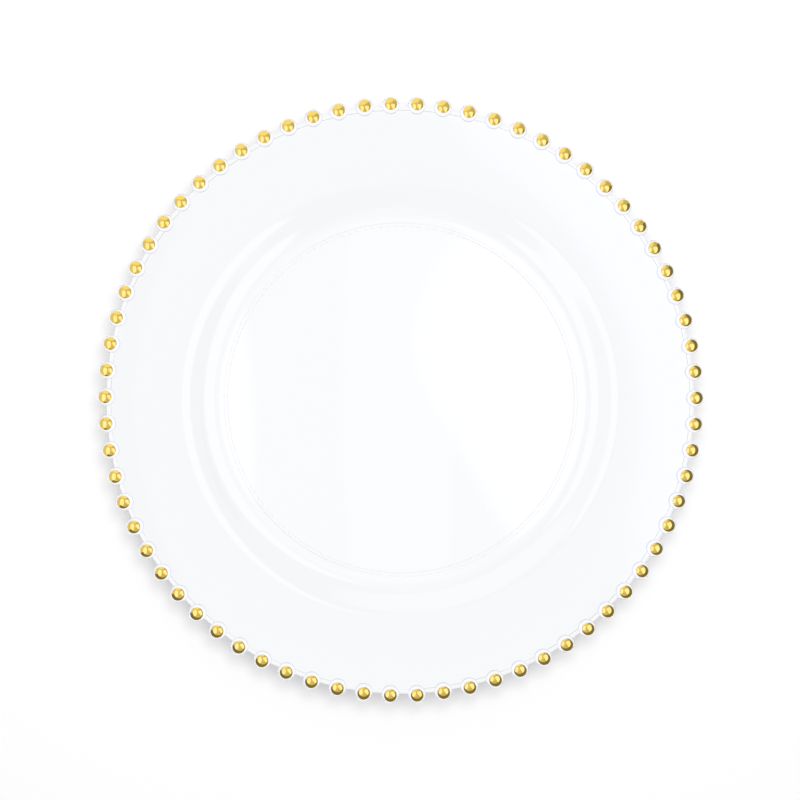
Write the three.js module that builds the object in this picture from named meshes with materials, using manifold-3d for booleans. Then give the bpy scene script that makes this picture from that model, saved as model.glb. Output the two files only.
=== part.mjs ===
// Clear charger plate with a rim of gold-capped beads.
// Millimetres, +Z up, the foot rib stands on z = 0 and the plate's axis is the Z axis.
import * as THREE from 'three';
import { mergeVertices } from 'three/addons/utils/BufferGeometryUtils.js';
import Module from 'manifold-3d';

const PLATE_DIAMETER = 330; // over the outer sides of the beads
const WALL = 2.4; // thickness of the clear moulding
const FOOT_RADIUS = 99.4; // outer side of the rib under the edge of the well
const FOOT_HEIGHT = 0.6;
const FOOT_WIDTH = 2.5; // where the rib leaves the floor
const FOOT_LEAN = 0.8; // how far each side of the rib leans in on its way down
const WELL_RADIUS = 101.35; // flat floor of the well
const WELL_BEND = 14; // inner radius of the bend from the floor to the side wall
const WALL_ANGLE = 42; // degrees that the side wall leans up from level
const WALL_LENGTH = 6.1; // straight stretch of the side wall
const SHOULDER_BEND = 13; // outer radius of the bend from the side wall to the rim
const RIM_ANGLE = 12; // degrees that the rim rises towards its edge
const BEAD_COUNT = 70;
const BEAD_DIAMETER = 9.6; // whole ball, clear part and gold cap together
const BEAD_OVERHANG = 5; // how far a bead stands out past the rim edge
const BEAD_RAISE = 0.4; // bead centre above the middle of the rim edge
const CAP_DIAMETER = 6.8; // gold circle where it meets the clear bead
const TIE_SIZE = 0.4; // thread between two caps that share a mesh

const CAP_MESH_COUNT = 59; // the caps share this many meshes, one or two in each
const BEND_STEPS = 2; // curve divisions, twice this many chords in each bend
const BEAD_SIDES = 10;
const BALL_CHORDS = 3;
const CAP_CHORDS = 2;

const wallAngle = THREE.MathUtils.degToRad(WALL_ANGLE);
const rimAngle = THREE.MathUtils.degToRad(RIM_ANGLE);
const floorTop = FOOT_HEIGHT + WALL;

// Centres of the two bends and the middle of the rim edge, as radius and height.
const alongWall = new THREE.Vector2(Math.cos(wallAngle), Math.sin(wallAngle));
const downFromWall = new THREE.Vector2(alongWall.y, -alongWall.x);
const wellBend = new THREE.Vector2(WELL_RADIUS, floorTop + WELL_BEND);
const shoulderBend = wellBend.clone()
  .addScaledVector(downFromWall, WELL_BEND + SHOULDER_BEND)
  .addScaledVector(alongWall, WALL_LENGTH);
const edge = new THREE.Vector2(PLATE_DIAMETER / 2 - BEAD_OVERHANG, 0);
edge.y = shoulderBend.y + (SHOULDER_BEND - WALL / 2) / Math.cos(rimAngle)
  + (edge.x - shoulderBend.x) * Math.tan(rimAngle);
const halfEdge = WALL / 2 / Math.cos(rimAngle);

// Beads: each ball is cut flat at the circle where its cap starts.
const beadRadius = BEAD_DIAMETER / 2;
const capRadius = CAP_DIAMETER / 2;
const beadCircle = PLATE_DIAMETER / 2 - beadRadius;
const beadHeight = edge.y + BEAD_RAISE;
const seatRise = Math.sqrt(beadRadius ** 2 - capRadius ** 2);
const seatAngle = Math.atan2(seatRise, capRadius);
const pitch = (2 * Math.PI) / BEAD_COUNT;

const { Manifold, Mesh: SolidMesh } = await loadSolids();

async function loadSolids() {
  const wasm = await Module();
  wasm.setup();
  return wasm;
}

// Welds a three.js geometry into a solid and drops the empty triangles on a lathe's axis.
function solid(geometry) {
  geometry.deleteAttribute('normal');
  geometry.deleteAttribute('uv');
  const welded = mergeVertices(geometry, 1e-5);
  const corners = Array.from(welded.index.array);
  const triangles = [];
  for (let i = 0; i < corners.length; i += 3) {
    const [a, b, c] = corners.slice(i, i + 3);
    if (a !== b && b !== c && c !== a) triangles.push(a, b, c);
  }
  return new Manifold(new SolidMesh({
    numProp: 3,
    vertProperties: new Float32Array(welded.attributes.position.array),
    triVerts: new Uint32Array(triangles),
  }));
}

// Closed solid turned round the Z axis from points of radius and height.
function turned(outline, sides) {
  return solid(new THREE.LatheGeometry(outline, sides, Math.PI / 2).rotateX(Math.PI / 2));
}

// Turns a solid round the plate's axis by a number of bead spacings.
function stepped(body, steps) {
  return body.rotate([0, 0, THREE.MathUtils.radToDeg(pitch) * steps]);
}

function counted(length) {
  return Array.from({ length }, (_, index) => index);
}

// Named mesh with its own material, made from a solid.
function part(name, body, finish) {
  const { vertProperties, triVerts } = body.getMesh();
  const geometry = new THREE.BufferGeometry();
  geometry.setAttribute('position', new THREE.BufferAttribute(vertProperties, 3));
  geometry.setIndex(new THREE.BufferAttribute(triVerts, 1));
  geometry.computeVertexNormals();
  const mesh = new THREE.Mesh(geometry, new THREE.MeshStandardMaterial(finish));
  mesh.name = name;
  return mesh;
}

// Section of the moulding, from the middle of the well out to the rim edge and back underneath.
function plateOutline() {
  const up = Math.PI / 2;
  const path = new THREE.Path();
  path.moveTo(0, floorTop);
  path.lineTo(WELL_RADIUS, floorTop);
  path.absarc(wellBend.x, wellBend.y, WELL_BEND, -up, wallAngle - up, false);
  path.absarc(shoulderBend.x, shoulderBend.y, SHOULDER_BEND, wallAngle + up, rimAngle + up, true);
  path.lineTo(edge.x, edge.y + halfEdge);
  path.lineTo(edge.x, edge.y - halfEdge);
  path.absarc(shoulderBend.x, shoulderBend.y, SHOULDER_BEND - WALL, rimAngle + up, wallAngle + up, false);
  path.absarc(wellBend.x, wellBend.y, WELL_BEND + WALL, wallAngle - up, -up, true);
  path.lineTo(FOOT_RADIUS, FOOT_HEIGHT);
  path.lineTo(FOOT_RADIUS - FOOT_LEAN, 0);
  path.lineTo(FOOT_RADIUS - FOOT_WIDTH + FOOT_LEAN, 0);
  path.lineTo(FOOT_RADIUS - FOOT_WIDTH, FOOT_HEIGHT);
  path.lineTo(0, FOOT_HEIGHT);
  return path.getPoints(BEND_STEPS).reverse();
}

// Clear ball on its own axis, its top cut flat as a seat for the cap.
function ballOutline() {
  const belly = new THREE.EllipseCurve(0, 0, beadRadius, beadRadius, -Math.PI / 2, 0);
  const seatEdge = new THREE.Vector2(capRadius, seatRise);
  return [...belly.getPoints(BALL_CHORDS), seatEdge, new THREE.Vector2(0, seatRise)];
}

// Gold dome that finishes the ball, its flat back at height 0.
function capOutline() {
  const dome = new THREE.EllipseCurve(0, -seatRise, beadRadius, beadRadius, seatAngle, Math.PI / 2);
  return [new THREE.Vector2(0, 0), ...dome.getPoints(CAP_CHORDS)];
}

// Well, side wall, rim and foot in one moulding with the clear balls along the edge.
function plateBody() {
  const dish = turned(plateOutline(), BEAD_COUNT);
  const ball = turned(ballOutline(), BEAD_SIDES).translate([beadCircle, 0, beadHeight]);
  return Manifold.union([dish, ...counted(BEAD_COUNT).map((step) => stepped(ball, step))]);
}

// Neighbouring caps joined by ties, the first one on +X, with their flat backs on z = 0.
function capRun(count) {
  const cap = turned(capOutline(), BEAD_SIDES).translate([beadCircle, 0, 0]);
  const tieLength = 2 * beadCircle * Math.sin(pitch / 2) - capRadius;
  const bar = new THREE.BoxGeometry(TIE_SIZE, tieLength, TIE_SIZE);
  const tie = solid(bar.translate(beadCircle * Math.cos(pitch / 2), 0, TIE_SIZE / 2));
  return Manifold.union([
    ...counted(count).map((step) => stepped(cap, step)),
    ...counted(count - 1).map((step) => stepped(tie, step + 0.5)),
  ]);
}

const plate = new THREE.Group();
plate.name = 'charger_plate';
plate.add(part('plate_body', plateBody(), {
  color: 0xeef3f8, roughness: 0.05, metalness: 0, transparent: true, opacity: 0.35,
}));

const capRing = new THREE.Group();
capRing.name = 'gold_caps';
capRing.position.z = beadHeight + seatRise;
plate.add(capRing);

for (const place of counted(CAP_MESH_COUNT)) {
  const first = Math.floor((place * BEAD_COUNT) / CAP_MESH_COUNT);
  const next = Math.floor(((place + 1) * BEAD_COUNT) / CAP_MESH_COUNT);
  const numbers = counted(next - first).map((step) => String(first + step + 1).padStart(2, '0'));
  const name = `${numbers.length > 1 ? 'gold_caps' : 'gold_cap'}_${numbers.join('_')}`;
  const caps = part(name, capRun(numbers.length), { color: 0xd8a53c, roughness: 0.18, metalness: 1 });
  caps.rotation.z = pitch * first;
  capRing.add(caps);
}

export default plate;
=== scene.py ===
"""Clear charger plate with gold-capped beads on its rim, dressed and lit as in its photograph."""

import logging
import math
from dataclasses import dataclass, field
from enum import Enum

import bmesh
import bpy
from mathutils import Matrix, Vector


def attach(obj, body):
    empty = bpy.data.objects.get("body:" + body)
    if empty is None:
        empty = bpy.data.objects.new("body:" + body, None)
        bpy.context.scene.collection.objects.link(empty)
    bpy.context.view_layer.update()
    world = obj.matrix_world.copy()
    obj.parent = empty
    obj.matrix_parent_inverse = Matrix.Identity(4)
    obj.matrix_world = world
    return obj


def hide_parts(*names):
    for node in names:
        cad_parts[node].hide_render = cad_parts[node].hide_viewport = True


LOG = logging.getLogger("charger_plate")
MM = 0.001
ROOT_BODY = "root"
WHITE = "#FFFFFF"

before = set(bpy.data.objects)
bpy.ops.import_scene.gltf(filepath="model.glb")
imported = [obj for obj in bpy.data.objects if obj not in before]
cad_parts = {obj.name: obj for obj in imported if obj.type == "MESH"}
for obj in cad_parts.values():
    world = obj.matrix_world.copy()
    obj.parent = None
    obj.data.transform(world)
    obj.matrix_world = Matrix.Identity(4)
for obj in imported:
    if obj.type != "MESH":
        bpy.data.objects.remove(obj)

Point = tuple[float, float]
Span = tuple[float, float]
Outline = list[Point]
Place = tuple[float, float, float]
Colour = tuple[float, float, float, float]


class Slot(Enum):
    """Material slots of the part's record."""

    CLEAR = "clear_plastic"
    GOLD = "gold_plating"


def linear(code: str) -> Colour:
    """Turn an sRGB hex colour into a linear one.

    Args:
        code: Six hex digits after a hash sign.

    Returns:
        Linear red, green, blue and an alpha of one.
    """
    parts = [int(code[i:i + 2], 16) / 255 for i in (1, 3, 5)]
    red, green, blue = [c / 12.92 if c <= 0.04045 else ((c + 0.055) / 1.055) ** 2.4 for c in parts]
    return (red, green, blue, 1.0)


def add(tree: bpy.types.NodeTree, kind: str, inputs: dict | None = None,
        **settings: object) -> bpy.types.Node:
    """Add one node, set it up and link what feeds it.

    Args:
        tree: Node tree that gets the node.
        kind: Type name of the node without its "ShaderNode".
        inputs: Values or output sockets by input name or number.
        **settings: Properties of the node itself.

    Returns:
        The new node.
    """
    node = tree.nodes.new("ShaderNode" + kind)
    for name, value in settings.items():
        setattr(node, name, value)
    for key, value in (inputs or {}).items():
        if isinstance(value, bpy.types.NodeSocket):
            tree.links.new(value, node.inputs[key])
        else:
            node.inputs[key].default_value = value
    return node


def blank_material(name: str) -> bpy.types.Material:
    """Make a node material with nothing in it yet.

    Args:
        name: Name of the material.

    Returns:
        The material.
    """
    material = bpy.data.materials.new(name)
    material.use_nodes = True
    material.node_tree.nodes.clear()
    return material


@dataclass(frozen=True)
class ClearMouldedAcrylic:
    """Clear acrylic as it leaves a polished mould.

    It bends light as glass does and is a shade cooler than the white under it. Steep faces that are
    seen at a glance get a painted shade, a darker cool tint, which draws fine dark arcs round
    the balls. The mould's polish leaves it glossy, with a slow waviness from the flow of the melt and
    fine wipe marks in its gloss. Its sloping faces turn part of the lamp's light aside, so that they
    leave a pale shadow on the table, and the flat well leaves almost none.

    Steep, glance and slope give where each of these starts and where it is full: steep and slope as
    the upward share of a face's direction, glance as how far the face is turned from the eye.
    """

    tint: str = "#FDFEFF"
    # painted shade: darker cool tint that steep faces get when seen at a glance
    painted_edge_shade: str = "#AAB1D6"
    shadow: str = "#F9F9FA"
    slope_shadow: str = "#DDDDE0"
    ior: float = 1.49
    roughness: float = 0.008
    gloss_spread: Span = (0.5, 2.0)
    wipe_range: Span = (0.35, 0.75)
    flow_mm: float = 38.0
    flow_depth_mm: float = 0.012
    wipe_mm: float = 1.6
    steep: Span = (0.42, 0.12)
    glance: Span = (0.25, 0.50)
    slope: Span = (0.999, 0.985)

    def body(self, tree: bpy.types.NodeTree, flat: bpy.types.NodeSocket) -> bpy.types.Node:
        """Add the plastic that bends and mirrors what is round it, with painted shade on steep faces seen
        at a glance.

        Args:
            tree: Node tree of the material.
            flat: Socket with the upward share of the face's direction.

        Returns:
            The shader.
        """
        place = add(tree, "TexCoord").outputs["Object"]
        flow = add(tree, "TexNoise", {"Vector": place, "Scale": 1 / (self.flow_mm * MM), "Detail": 1.0})
        wipe = add(tree, "TexNoise", {"Vector": place, "Scale": 1 / (self.wipe_mm * MM), "Detail": 4.0})
        gloss = add(tree, "MapRange", {
            "Value": wipe.outputs["Fac"], "From Min": self.wipe_range[0], "From Max": self.wipe_range[1],
            "To Min": self.roughness * self.gloss_spread[0],
            "To Max": self.roughness * self.gloss_spread[1],
        })
        waves = add(tree, "Bump", {
            "Strength": 1.0, "Distance": self.flow_depth_mm * MM, "Height": flow.outputs["Fac"],
        })
        steep = add(tree, "MapRange", {
            "Value": flat, "From Min": self.steep[0], "From Max": self.steep[1],
        })
        facing = add(tree, "LayerWeight", {"Blend": 0.5}).outputs["Facing"]
        glance = add(tree, "MapRange", {
            "Value": facing, "From Min": self.glance[0], "From Max": self.glance[1],
        })
        # painted shade: share of the darker cool tint, full on steep faces seen at a glance, which draws
        # dark arcs round the balls
        depth = add(tree, "Math", {
            0: steep.outputs["Result"], 1: glance.outputs["Result"],
        }, operation="MULTIPLY")
        hue = add(tree, "Mix", {
            0: depth.outputs[0], 6: linear(self.tint), 7: linear(self.painted_edge_shade),
        }, data_type="RGBA")
        return add(tree, "BsdfPrincipled", {
            "Base Color": hue.outputs[2], "IOR": self.ior, "Transmission Weight": 1.0,
            "Roughness": gloss.outputs["Result"], "Normal": waves.outputs["Normal"],
        })

    def lamp_light(self, tree: bpy.types.NodeTree, flat: bpy.types.NodeSocket) -> bpy.types.Node:
        """Add the share of the lamp's light that reaches what lies under the plastic.

        Args:
            tree: Node tree of the material.
            flat: Socket with the upward share of the face's direction.

        Returns:
            The shader.
        """
        slope = add(tree, "MapRange", {
            "Value": flat, "From Min": self.slope[0], "From Max": self.slope[1],
        })
        passed = add(tree, "Mix", {
            0: slope.outputs["Result"], 6: linear(self.shadow), 7: linear(self.slope_shadow),
        }, data_type="RGBA")
        return add(tree, "BsdfTransparent", {"Color": passed.outputs[2]})

    def build(self) -> bpy.types.Material:
        """Build the material.

        Returns:
            Clear plastic that lets lamp light through to what lies under it.
        """
        material = blank_material("clear_moulded_acrylic")
        tree = material.node_tree
        face = add(tree, "SeparateXYZ", {"Vector": add(tree, "NewGeometry").outputs["Normal"]})
        flat = add(tree, "Math", {0: face.outputs["Z"]}, operation="ABSOLUTE").outputs[0]
        shown = self.body(tree, flat)
        lamp = self.lamp_light(tree, flat)
        ray = add(tree, "LightPath")
        for kind in ("Is Diffuse Ray", "Is Shadow Ray"):
            shown = add(tree, "MixShader", {0: ray.outputs[kind], 1: shown.outputs[0], 2: lamp.outputs[0]})
        add(tree, "OutputMaterial", {"Surface": shown.outputs[0]})
        return material


@dataclass(frozen=True)
class BrightGoldPlating:
    """Bright gold plated on a smooth dome.

    It mirrors the room in warm yellow. The thin plating clouds a little in depth of colour and its
    fine grain softens the edges of what it mirrors.
    """

    bright: str = "#F2D574"
    deep: str = "#EDCB64"
    roughness: float = 0.045
    gloss_spread: Span = (0.75, 1.35)
    pattern_range: Span = (0.30, 0.70)
    cloud_mm: float = 2.2
    grain_mm: float = 0.35
    grain_depth_mm: float = 0.004
    grain_strength: float = 0.5

    def build(self) -> bpy.types.Material:
        """Build the material.

        Returns:
            Gold with cloudy depth of colour and an uneven gloss.
        """
        material = blank_material("bright_gold_plating")
        tree = material.node_tree
        place = add(tree, "TexCoord").outputs["Object"]
        cloud = add(tree, "TexNoise", {"Vector": place, "Scale": 1 / (self.cloud_mm * MM), "Detail": 2.0})
        grain = add(tree, "TexNoise", {"Vector": place, "Scale": 1 / (self.grain_mm * MM), "Detail": 2.0})
        hue = add(tree, "ValToRGB", {"Fac": cloud.outputs["Fac"]})
        colours = (self.deep, self.bright)
        for stop, position, colour in zip(hue.color_ramp.elements, self.pattern_range, colours):
            stop.position = position
            stop.color = linear(colour)
        gloss = add(tree, "MapRange", {
            "Value": grain.outputs["Fac"],
            "From Min": self.pattern_range[0], "From Max": self.pattern_range[1],
            "To Min": self.roughness * self.gloss_spread[0],
            "To Max": self.roughness * self.gloss_spread[1],
        })
        skin = add(tree, "Bump", {
            "Strength": self.grain_strength, "Distance": self.grain_depth_mm * MM,
            "Height": grain.outputs["Fac"],
        })
        metal = add(tree, "BsdfPrincipled", {
            "Base Color": hue.outputs["Color"], "Metallic": 1.0,
            "Roughness": gloss.outputs["Result"], "Normal": skin.outputs["Normal"],
        })
        add(tree, "OutputMaterial", {"Surface": metal.outputs[0]})
        return material


def arc(centre: Point, radius: float, start: float, end: float, steps: int) -> Outline:
    """Give the points of an arc.

    Args:
        centre: Centre as distance from the axis and height.
        radius: Radius of the arc.
        start: First angle in degrees from level.
        end: Last angle in degrees.
        steps: Number of chords.

    Returns:
        The points from the first angle to the last.
    """
    angles = [math.radians(start + (end - start) * i / steps) for i in range(steps + 1)]
    return [(centre[0] + radius * math.cos(a), centre[1] + radius * math.sin(a)) for a in angles]


def eased(outline: Outline, reach: float, steps: int) -> Outline:
    """Round off the corners of an outline, all but its two ends.

    Args:
        outline: The outline.
        reach: Distance from a corner at which its rounding starts.
        steps: Number of chords in each rounding.

    Returns:
        The outline with rounded corners.
    """
    points = outline[:1]
    for before, corner, after in zip(outline, outline[1:], outline[2:]):
        tip = Vector(corner)
        first, last = (tip.lerp(Vector(end), reach / math.dist(corner, end)) for end in (before, after))
        for share in (i / steps for i in range(steps + 1)):
            spot = first.lerp(tip, share).lerp(tip.lerp(last, share), share)
            points.append((spot.x, spot.y))
    return [*points, outline[-1]]


def held(outline: Outline, gap: float) -> Outline:
    """Add a point near each end of the long straight stretches, so that flats stay flat when shaded smooth.

    Args:
        outline: The outline.
        gap: Distance of an added point from the end of its stretch.

    Returns:
        The outline with the added points.
    """
    points = outline[:1]
    for start, end in zip(outline, outline[1:]):
        length = math.dist(start, end)
        shares = (gap / length, 1 - gap / length) if length > 4 * gap else ()
        for share in shares:
            points.append(tuple(a + (b - a) * share for a, b in zip(start, end)))
        points.append(end)
    return points


def turn(mesh: bmesh.types.BMesh, outline: Outline, sides: int, place: Matrix) -> None:
    """Turn an outline round the Z axis into a closed skin and add it to a mesh.

    Args:
        mesh: Mesh that gets the skin.
        outline: Distance from the axis and height, from the axis below to the axis above.
        sides: Number of steps round the axis.
        place: Move from the turning axis to the skin's place.
    """
    rows = []
    for radius, height in outline:
        steps = sides if radius > 0 else 1
        angles = [2 * math.pi * i / sides for i in range(steps)]
        spots = [Vector((radius * math.cos(a), radius * math.sin(a), height)) for a in angles]
        rows.append([mesh.verts.new(place @ spot) for spot in spots])
    for low, high in zip(rows, rows[1:]):
        for i in range(sides):
            j = (i + 1) % sides
            corners = [low[i % len(low)], low[j % len(low)], high[j % len(high)], high[i % len(high)]]
            mesh.faces.new(dict.fromkeys(corners))


def as_object(name: str, mesh: bmesh.types.BMesh) -> bpy.types.Object:
    """Make an object of a mesh and link it to the scene.

    Args:
        name: Name of the object.
        mesh: The mesh, which is freed.

    Returns:
        The object.
    """
    data = bpy.data.meshes.new(name)
    mesh.to_mesh(data)
    mesh.free()
    piece = bpy.data.objects.new(name, data)
    bpy.context.scene.collection.objects.link(piece)
    return piece


def smooth(piece: bpy.types.Object, crease: float = 30.0) -> None:
    """Shade a piece smooth, with sharp edges where its surface really turns.

    Args:
        piece: The piece.
        crease: Angle in degrees from which an edge is sharp.
    """
    piece.data.shade_smooth()
    piece.data.set_sharp_from_angle(angle=math.radians(crease))


@dataclass
class PlateSizes:
    """Driving sizes of the plate in metres and degrees, and what follows from them."""

    diameter: float = 330.0 * MM
    wall: float = 2.4 * MM
    foot_radius: float = 99.4 * MM
    foot_height: float = 0.6 * MM
    foot_width: float = 2.5 * MM
    well_radius: float = 101.35 * MM
    well_bend: float = 14.0 * MM
    wall_angle: float = 42.0
    wall_length: float = 6.1 * MM
    shoulder_bend: float = 13.0 * MM
    rim_angle: float = 12.0
    bead_count: int = 70
    bead_radius: float = 4.8 * MM
    bead_overhang: float = 5.0 * MM
    bead_raise: float = 0.4 * MM
    cap_radius: float = 3.4 * MM

    @property
    def floor_top(self) -> float:
        """Height of the well's upper face."""
        return self.foot_height + self.wall

    @property
    def well_centre(self) -> Point:
        """Centre of the bend from the well to the side wall."""
        return (self.well_radius, self.floor_top + self.well_bend)

    @property
    def shoulder_centre(self) -> Point:
        """Centre of the bend from the side wall to the rim."""
        lean = math.radians(self.wall_angle)
        reach = self.well_bend + self.shoulder_bend
        out = reach * math.sin(lean) + self.wall_length * math.cos(lean)
        rise = self.wall_length * math.sin(lean) - reach * math.cos(lean)
        return (self.well_centre[0] + out, self.well_centre[1] + rise)

    @property
    def edge_radius(self) -> float:
        """Distance of the rim's edge from the axis."""
        return self.diameter / 2 - self.bead_overhang

    def rim_middle(self, radius: float) -> float:
        """Height of the middle of the rim's wall at a distance from the axis."""
        slope = math.radians(self.rim_angle)
        start = self.shoulder_centre[1] + (self.shoulder_bend - self.wall / 2) / math.cos(slope)
        return start + (radius - self.shoulder_centre[0]) * math.tan(slope)

    @property
    def seat_rise(self) -> float:
        """Height of a cap's seat above the middle of its bead."""
        return math.sqrt(self.bead_radius ** 2 - self.cap_radius ** 2)

    @property
    def seat_angle(self) -> float:
        """Angle above level at which the seat cuts the ball."""
        return math.degrees(math.atan2(self.seat_rise, self.cap_radius))

    def bead_place(self, index: int) -> Matrix:
        """Give the move that puts a bead made on the Z axis at its place on the rim.

        Args:
            index: Number of the bead, from 0 on +X and counted towards +Y.

        Returns:
            The move as a matrix.
        """
        height = self.rim_middle(self.edge_radius) + self.bead_raise
        out = Matrix.Translation((self.diameter / 2 - self.bead_radius, 0.0, height))
        return Matrix.Rotation(2 * math.pi * index / self.bead_count, 4, "Z") @ out


@dataclass
class PlateBody:
    """Clear moulding: well, side wall, rim, foot and the clear part of the beads.

    The two sides of the foot rib lean by different lengths, which shows from above as a fine double
    line. Chords are the numbers of straight steps in each rounding: on a bend first those of its
    outer face, on the rim edge first those of its upper corner.
    """

    sizes: PlateSizes
    finish: ClearMouldedAcrylic = field(default_factory=ClearMouldedAcrylic)
    foot_lean_in: float = 0.91 * MM
    foot_lean_out: float = 0.585 * MM
    foot_ease: float = 0.14 * MM
    lip_width: float = 2.25 * MM
    lip_step: float = 0.18 * MM
    edge_round: float = 1.5 * MM
    edge_low_round: float = 0.4 * MM
    bead_room: float = 1.0 * MM
    hold: float = 0.35 * MM
    foot_chords: int = 5
    well_chords: tuple[int, int] = (14, 16)
    shoulder_chords: tuple[int, int] = (14, 12)
    edge_chords: tuple[int, int] = (10, 4)
    ball_chords: int = 24
    sides: int = 420
    bead_sides: int = 32

    def foot(self) -> Outline:
        """Give the outline of the underside from the axis over the foot rib to the edge of the well."""
        s = self.sizes
        inside = s.foot_radius - s.foot_width
        corners = [
            (0.0, s.foot_height), (inside, s.foot_height), (inside + self.foot_lean_in, 0.0),
            (s.foot_radius - self.foot_lean_out, 0.0), (s.foot_radius, s.foot_height),
            (s.well_radius, s.foot_height),
        ]
        return eased(corners, self.foot_ease, self.foot_chords)

    def section(self) -> Outline:
        """Give the outline of the moulding without its beads.

        Returns:
            Points from the middle of the underside out to the rounded rim edge and back over the top.
        """
        s = self.sizes
        wall, rim, half = s.wall_angle, s.rim_angle, s.wall / 2
        lip = self.lip_step - half
        bead_start = s.diameter / 2 - 2 * s.bead_radius - self.bead_room
        lip_start = s.edge_radius - self.lip_width
        under = [
            *self.foot()[:-1],
            *arc(s.well_centre, s.well_bend + s.wall, -90.0, wall - 90.0, self.well_chords[0]),
            *arc(s.shoulder_centre, s.shoulder_bend - s.wall, wall + 90.0, rim + 90.0,
                 self.shoulder_chords[1]),
            self.on_rim(bead_start, -half),
            self.on_rim(lip_start, -half),
            self.on_rim(lip_start + self.lip_step / 2, lip),
        ]
        low_centre = self.on_rim(s.edge_radius - self.edge_low_round, lip + self.edge_low_round)
        top_centre = self.on_rim(s.edge_radius - self.edge_round, half - self.edge_round)
        edge = [
            *arc(low_centre, self.edge_low_round, rim - 90.0, rim, self.edge_chords[1]),
            *arc(top_centre, self.edge_round, rim, rim + 90.0, self.edge_chords[0]),
        ]
        over = [
            self.on_rim(bead_start, half),
            *arc(s.shoulder_centre, s.shoulder_bend, rim + 90.0, wall + 90.0, self.shoulder_chords[0]),
            *arc(s.well_centre, s.well_bend, wall - 90.0, -90.0, self.well_chords[1]),
            (0.0, s.floor_top),
        ]
        return held(under + edge + over, self.hold)

    def on_rim(self, radius: float, offset: float) -> Point:
        """Give the point of the rim at a distance from the axis and square off its middle by an offset."""
        lean = math.radians(self.sizes.rim_angle)
        return (radius - offset * math.sin(lean), self.sizes.rim_middle(radius) + offset * math.cos(lean))

    def ball(self) -> Outline:
        """Give the outline of a clear ball with its top cut flat.

        Returns:
            Points from the bottom of the ball to the middle of the seat.
        """
        s = self.sizes
        side = arc((0.0, 0.0), s.bead_radius, -90.0, s.seat_angle, self.ball_chords)
        return [(0.0, -s.bead_radius), *side[1:], (0.0, s.seat_rise)]

    def build(self) -> bpy.types.Object:
        """Build the moulding as one closed skin.

        Returns:
            The plate's body.
        """
        dish = bmesh.new()
        turn(dish, self.section(), self.sides, Matrix.Identity(4))
        piece = as_object("plate_body_clear", dish)
        balls = bmesh.new()
        for index in range(self.sizes.bead_count):
            turn(balls, self.ball(), self.bead_sides, self.sizes.bead_place(index))
        joined = as_object("clear_balls", balls)
        union = piece.modifiers.new("join", "BOOLEAN")
        union.operation = "UNION"
        union.solver = "MANIFOLD"
        union.object = joined
        graph = bpy.context.evaluated_depsgraph_get()
        skin = bpy.data.meshes.new_from_object(piece.evaluated_get(graph))
        piece.modifiers.clear()
        piece.data = skin
        bpy.data.objects.remove(joined)
        smooth(piece)
        return piece

    def dress(self, piece: bpy.types.Object) -> None:
        """Give the moulding its finish and its place in the frame.

        Args:
            piece: The plate's body.
        """
        piece.data.materials.clear()
        piece.data.materials.append(self.finish.build())
        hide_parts("plate_body")
        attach(piece, ROOT_BODY)


@dataclass
class GoldCaps:
    """Gold domes that finish the beads."""

    sizes: PlateSizes
    nodes: list[str]
    finish: BrightGoldPlating = field(default_factory=BrightGoldPlating)
    sink: float = 0.04 * MM
    sides: int = 40
    chords: int = 12

    def dome(self) -> Outline:
        """Give the outline of one dome, its back sunk a hair into the clear seat.

        Returns:
            Points from the middle of the flat back over the edge to the top.
        """
        s = self.sizes
        back = s.seat_rise - self.sink
        side = arc((0.0, 0.0), s.bead_radius, s.seat_angle, 90.0, self.chords)
        return [(0.0, back), (s.cap_radius, back), *side[:-1], (0.0, s.bead_radius)]

    def build(self) -> list[bpy.types.Object]:
        """Build the domes, one object for each node that they stand for.

        Returns:
            The objects, in the order of their nodes.
        """
        pieces = []
        for node in self.nodes:
            domes = bmesh.new()
            for number in [int(word) for word in node.split("_") if word.isdigit()]:
                turn(domes, self.dome(), self.sides, self.sizes.bead_place(number - 1))
            piece = as_object(node + "_plated", domes)
            smooth(piece)
            pieces.append(piece)
        return pieces

    def dress(self, pieces: list[bpy.types.Object]) -> None:
        """Give the domes their finish and their place in the frame.

        Args:
            pieces: The objects that build made.
        """
        gold = self.finish.build()
        for piece, node in zip(pieces, self.nodes):
            piece.data.materials.append(gold)
            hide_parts(node)
            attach(piece, ROOT_BODY)


@dataclass(frozen=True)
class Softbox:
    """Soft round lamp over the far right of the plate, which lets the shadow fall to the near left.

    Its light doesn't fade with distance, so that the table is evenly lit, and nothing mirrors it.
    """

    place: Place = (0.02, 0.21, 1.30)
    diameter: float = 0.88
    watts: float = 8.3

    def build(self) -> None:
        """Hang the lamp, which shines straight down on the table."""
        lamp = bpy.data.lights.new("softbox", "AREA")
        lamp.shape = "DISK"
        lamp.size = self.diameter
        lamp.energy = self.watts
        lamp.use_nodes = True
        tree = lamp.node_tree
        tree.nodes.clear()
        even = add(tree, "LightFalloff", {"Strength": 1.0})
        glow = add(tree, "Emission", {"Strength": even.outputs["Constant"]})
        add(tree, "OutputLight", {"Surface": glow.outputs[0]})
        holder = bpy.data.objects.new("softbox", lamp)
        holder.location = self.place
        holder.visible_glossy = False
        holder.visible_transmission = False
        bpy.context.scene.collection.objects.link(holder)


def set_aside(piece: bpy.types.Object, through_plastic: bool) -> None:
    """Make a stage piece that shows only in what gold and gloss mirror, and casts no light or shadow.

    Args:
        piece: The stage piece.
        through_plastic: Whether it also shows through clear plastic.
    """
    piece.visible_camera = False
    piece.visible_diffuse = False
    piece.visible_transmission = through_plastic
    piece.visible_shadow = False


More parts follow.
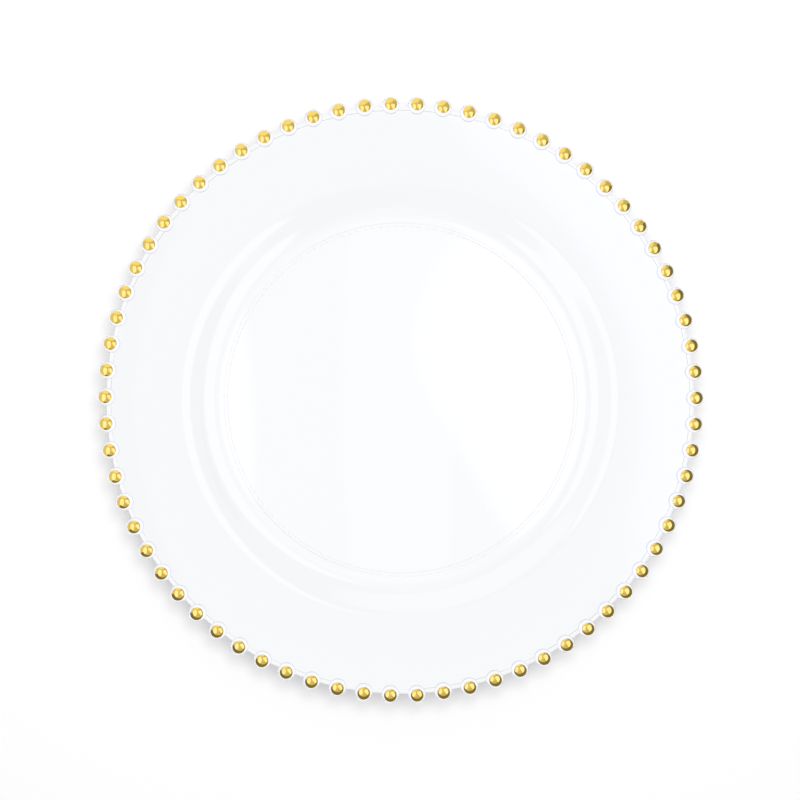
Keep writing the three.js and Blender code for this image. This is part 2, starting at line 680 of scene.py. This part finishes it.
@dataclass(frozen=True)
class LightTent:
    """Low tent over the table, seen only in what gold and gloss mirror and through clear plastic.

    Two lit panels with a dim gap between them fill most of it. The right panel's side along the gap
    is slanted, a paler strip runs down the gap, the far end is pale and the rest darkens to the right.
    Places and spans are shares of the tent's radius, to the right and to the far side; a patch is
    given by its middle and half its width.
    """

    radius: float = 0.48
    left_panel: Place = (-0.54, -0.115, 0.27)
    right_panel: Place = (0.445, -0.115, 0.375)
    panel_length: float = 0.53
    panel_corner: float = 2.8
    panel_light: float = 2.0
    panel_cool: str = "#DCDCFF"
    gap_edge: float = 0.135
    gap_slant: float = -0.55
    gap_soft: float = 0.045
    gap_strip: Place = (0.035, 0.05, 0.105)
    gap_light: float = 0.89
    far_end: Place = (-0.60, 1.62, 1.05)
    far_length: float = 1.0
    far_light: float = 1.12
    middle_light: float = 0.73
    lean: Place = (-0.14, 0.0, 0.0)
    soft: float = 0.20
    rings: int = 24

    def patch(self, tree: bpy.types.NodeTree, axes: bpy.types.Node, spot: Place,
              length: float) -> bpy.types.NodeSocket:
        """Mark a patch of the tent with round corners and soft edges.

        Args:
            tree: Node tree of the tent.
            axes: Node that gives the place on the tent.
            spot: Middle of the patch across and along the tent, and half its width.
            length: Half its length.

        Returns:
            Socket that is one inside the patch and zero outside.
        """
        shares = []
        for axis, middle, half in (("X", spot[0], spot[2]), ("Y", spot[1], length)):
            away = add(tree, "Math", {0: axes.outputs[axis], 1: middle}, operation="SUBTRACT")
            share = add(tree, "Math", {0: away.outputs[0], 1: half}, operation="DIVIDE")
            size = add(tree, "Math", {0: share.outputs[0]}, operation="ABSOLUTE")
            power = add(tree, "Math", {0: size.outputs[0], 1: self.panel_corner}, operation="POWER")
            shares.append(power.outputs[0])
        total = add(tree, "Math", {0: shares[0], 1: shares[1]}, operation="ADD")
        inside = add(tree, "MapRange", {
            "Value": total.outputs[0], "From Min": 1 - self.soft, "From Max": 1 + 2 * self.soft,
            "To Min": 1.0, "To Max": 0.0,
        }, interpolation_type="SMOOTHSTEP")
        return inside.outputs[0]

    def panels(self, tree: bpy.types.NodeTree, axes: bpy.types.Node) -> bpy.types.NodeSocket:
        """Mark the two lit panels, the right one cut along the slanted gap.

        Args:
            tree: Node tree of the tent.
            axes: Node that gives the place on the tent.

        Returns:
            Socket that is one on the panels and zero off them.
        """
        edge = add(tree, "Math", {
            0: axes.outputs["Y"], 1: self.gap_slant, 2: self.gap_edge,
        }, operation="MULTIPLY_ADD")
        past = add(tree, "Math", {0: axes.outputs["X"], 1: edge.outputs[0]}, operation="SUBTRACT")
        cut = add(tree, "MapRange", {
            "Value": past.outputs[0], "From Min": -self.gap_soft, "From Max": self.gap_soft,
        }, interpolation_type="SMOOTHSTEP")
        right = add(tree, "Math", {
            0: self.patch(tree, axes, self.right_panel, self.panel_length), 1: cut.outputs[0],
        }, operation="MULTIPLY")
        left = self.patch(tree, axes, self.left_panel, self.panel_length)
        return add(tree, "Math", {0: left, 1: right.outputs[0]}, operation="ADD").outputs[0]

    def cloth(self) -> bpy.types.Material:
        """Build the tent's glowing cloth.

        Returns:
            Material with the brightness of each part of the tent.
        """
        material = blank_material("lit_tent_cloth")
        tree = material.node_tree
        spot = add(tree, "TexCoord").outputs["Object"]
        way = add(tree, "VectorMath", {0: spot}, operation="NORMALIZE").outputs["Vector"]
        axes = add(tree, "SeparateXYZ", {"Vector": way})
        slope = add(tree, "VectorMath", {0: way, 1: self.lean}, operation="DOT_PRODUCT")
        level = add(tree, "Math", {
            0: slope.outputs["Value"], 1: self.middle_light,
        }, operation="ADD").outputs[0]
        panels = self.panels(tree, axes)
        strip = self.patch(tree, axes, self.gap_strip, self.panel_length)
        far = self.patch(tree, axes, self.far_end, self.far_length)
        for mask, light in ((strip, self.gap_light), (far, self.far_light), (panels, self.panel_light)):
            level = add(tree, "MapRange", {"Value": mask, "To Min": level, "To Max": light}).outputs[0]
        hue = add(tree, "Mix", {
            0: panels, 6: linear(WHITE), 7: linear(self.panel_cool),
        }, data_type="RGBA")
        glow = add(tree, "Emission", {"Color": hue.outputs[2], "Strength": level})
        add(tree, "OutputMaterial", {"Surface": glow.outputs[0]})
        return material

    def build(self) -> bpy.types.Object:
        """Pitch the tent over the table.

        Returns:
            The tent.
        """
        mesh = bmesh.new()
        side = arc((0.0, 0.0), self.radius, 0.0, 90.0, self.rings)
        turn(mesh, [*side[:-1], (0.0, self.radius)], 4 * self.rings, Matrix.Identity(4))
        piece = as_object("light_tent", mesh)
        smooth(piece)
        piece.data.materials.append(self.cloth())
        set_aside(piece, through_plastic=True)
        return piece


@dataclass(frozen=True)
class DarkCard:
    """Low dark card that stands round the near right of the plate, seen only in what gold and gloss mirror.

    It gives the gold beads there their dark crescents. Start and end are degrees round the plate.
    """

    radius: float = 0.232
    height: float = 0.088
    start: float = -152.0
    end: float = 37.0
    light: float = 0.23
    steps: int = 44

    def build(self) -> bpy.types.Object:
        """Stand the card up.

        Returns:
            The card.
        """
        mesh = bmesh.new()
        line = arc((0.0, 0.0), self.radius, self.start, self.end, self.steps)
        low, high = [[mesh.verts.new((x, y, z)) for x, y in line] for z in (0.0, self.height)]
        for i in range(self.steps):
            mesh.faces.new((low[i], low[i + 1], high[i + 1], high[i]))
        piece = as_object("dark_card", mesh)
        material = blank_material("dark_grey_card")
        glow = add(material.node_tree, "Emission", {"Strength": self.light})
        add(material.node_tree, "OutputMaterial", {"Surface": glow.outputs[0]})
        piece.data.materials.append(material)
        set_aside(piece, through_plastic=False)
        return piece


@dataclass(frozen=True)
class Room:
    """White room round the table, which lends it soft light from every side."""

    ambient: float = 0.32

    def build(self) -> None:
        """Make the room the scene's world."""
        world = bpy.data.worlds.new("studio_room")
        world.use_nodes = True
        tree = world.node_tree
        tree.nodes.clear()
        ray = add(tree, "LightPath")
        seen = ray.outputs["Is Camera Ray"]
        for name in ("Is Glossy Ray", "Is Transmission Ray"):
            seen = add(tree, "Math", {0: seen, 1: ray.outputs[name]}, operation="MAXIMUM").outputs[0]
        strength = add(tree, "MapRange", {"Value": seen, "To Min": self.ambient, "To Max": 1.0})
        light = add(tree, "Background", {"Color": linear(WHITE), "Strength": strength.outputs[0]})
        add(tree, "OutputWorld", {"Surface": light.outputs[0]})
        bpy.context.scene.world = world


@dataclass(frozen=True)
class TableTop:
    """Wide matt white board that the plate stands on.

    It keeps the plate's shadow where it is seen plainly, and shows white through the clear plastic.
    From near to far from the plate it fades into the white of the room, so that no edge of it shows.
    """

    size: float = 40.0
    near: float = 0.5
    far: float = 1.2
    drop: float = 0.05 * MM
    white: str = "#FAFAFB"
    tooth_mm: float = 0.8
    tooth_depth_mm: float = 0.02
    tooth_strength: float = 0.05
    through: float = 0.91

    def surface(self) -> bpy.types.Material:
        """Build the board's matt white paint.

        Returns:
            Material with the fine tooth of the paint, which takes shadows near the plate.
        """
        material = blank_material("matt_white_board")
        tree = material.node_tree
        place = add(tree, "TexCoord").outputs["Object"]
        tooth = add(tree, "TexNoise", {"Vector": place, "Scale": 1 / (self.tooth_mm * MM), "Detail": 2.0})
        relief = add(tree, "Bump", {
            "Strength": self.tooth_strength, "Distance": self.tooth_depth_mm * MM,
            "Height": tooth.outputs["Fac"],
        })
        board = add(tree, "BsdfDiffuse", {"Color": linear(self.white), "Normal": relief.outputs["Normal"]})
        glow = add(tree, "Emission", {"Strength": 1.0})
        ray = add(tree, "LightPath")
        share = add(tree, "Math", {
            0: ray.outputs["Is Transmission Ray"], 1: self.through,
        }, operation="MULTIPLY")
        away = add(tree, "VectorMath", {0: place}, operation="LENGTH").outputs["Value"]
        outside = add(tree, "MapRange", {
            "Value": away, "From Min": self.near, "From Max": self.far,
        }, interpolation_type="SMOOTHSTEP")
        seen = add(tree, "Math", {
            0: ray.outputs["Is Camera Ray"], 1: outside.outputs["Result"],
        }, operation="MULTIPLY")
        white = add(tree, "Math", {0: share.outputs[0], 1: seen.outputs[0]}, operation="MAXIMUM")
        mixed = add(tree, "MixShader", {0: white.outputs[0], 1: board.outputs[0], 2: glow.outputs[0]})
        add(tree, "OutputMaterial", {"Surface": mixed.outputs[0]})
        return material

    def build(self) -> bpy.types.Object:
        """Lay the board.

        Returns:
            The board.
        """
        mesh = bmesh.new()
        bmesh.ops.create_grid(mesh, x_segments=1, y_segments=1, size=self.size / 2)
        piece = as_object("table_top", mesh)
        piece.location.z = -self.drop
        piece.data.materials.append(self.surface())
        return piece


@dataclass(frozen=True)
class PhotoCamera:
    """Camera almost straight above the plate, as in the photograph; its turns are in degrees."""

    place: Place = (-29.12 * MM, -20.90 * MM, 652.65 * MM)
    turn: Place = (1.7694, -2.4613, 0.0323)
    lens: float = 52.343
    film: float = 36.0
    nearest: float = 10 * MM

    def build(self) -> None:
        """Place the camera and make it the scene's own."""
        data = bpy.data.cameras.new("photo_camera")
        data.lens = self.lens
        data.sensor_width = self.film
        data.clip_start = self.nearest
        camera = bpy.data.objects.new("photo_camera", data)
        camera.location = self.place
        camera.rotation_euler = [math.radians(angle) for angle in self.turn]
        bpy.context.scene.collection.objects.link(camera)
        bpy.context.scene.camera = camera


def follow_light(bounces: int = 32) -> None:
    """Let light run far inside the clear plastic, so that its edges don't turn black.

    Args:
        bounces: Number of times that light may bounce or bend on its way.
    """
    cycles = bpy.context.scene.cycles
    cycles.max_bounces = bounces
    cycles.glossy_bounces = bounces
    cycles.transmission_bounces = bounces


def main() -> None:
    """Build the plate piece by piece, light it and log what was built."""
    logging.basicConfig(level=logging.INFO, format="%(name)s: %(message)s")
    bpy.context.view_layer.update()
    bpy.context.scene.view_settings.view_transform = "Standard"
    follow_light()
    PhotoCamera().build()

    sizes = PlateSizes()
    body = PlateBody(sizes)
    moulding = body.build()
    body.dress(moulding)
    LOG.info("built %s with %d faces", moulding.name, len(moulding.data.polygons))

    caps = GoldCaps(sizes, sorted(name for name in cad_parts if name.startswith("gold_cap")))
    domes = caps.build()
    caps.dress(domes)
    for dome in domes:
        LOG.info("built %s", dome.name)

    for stage_piece in (TableTop(), LightTent(), DarkCard()):
        LOG.info("set up %s", stage_piece.build().name)
    Room().build()
    Softbox().build()
    LOG.info("lit the table")


if __name__ == "__main__":
    main()
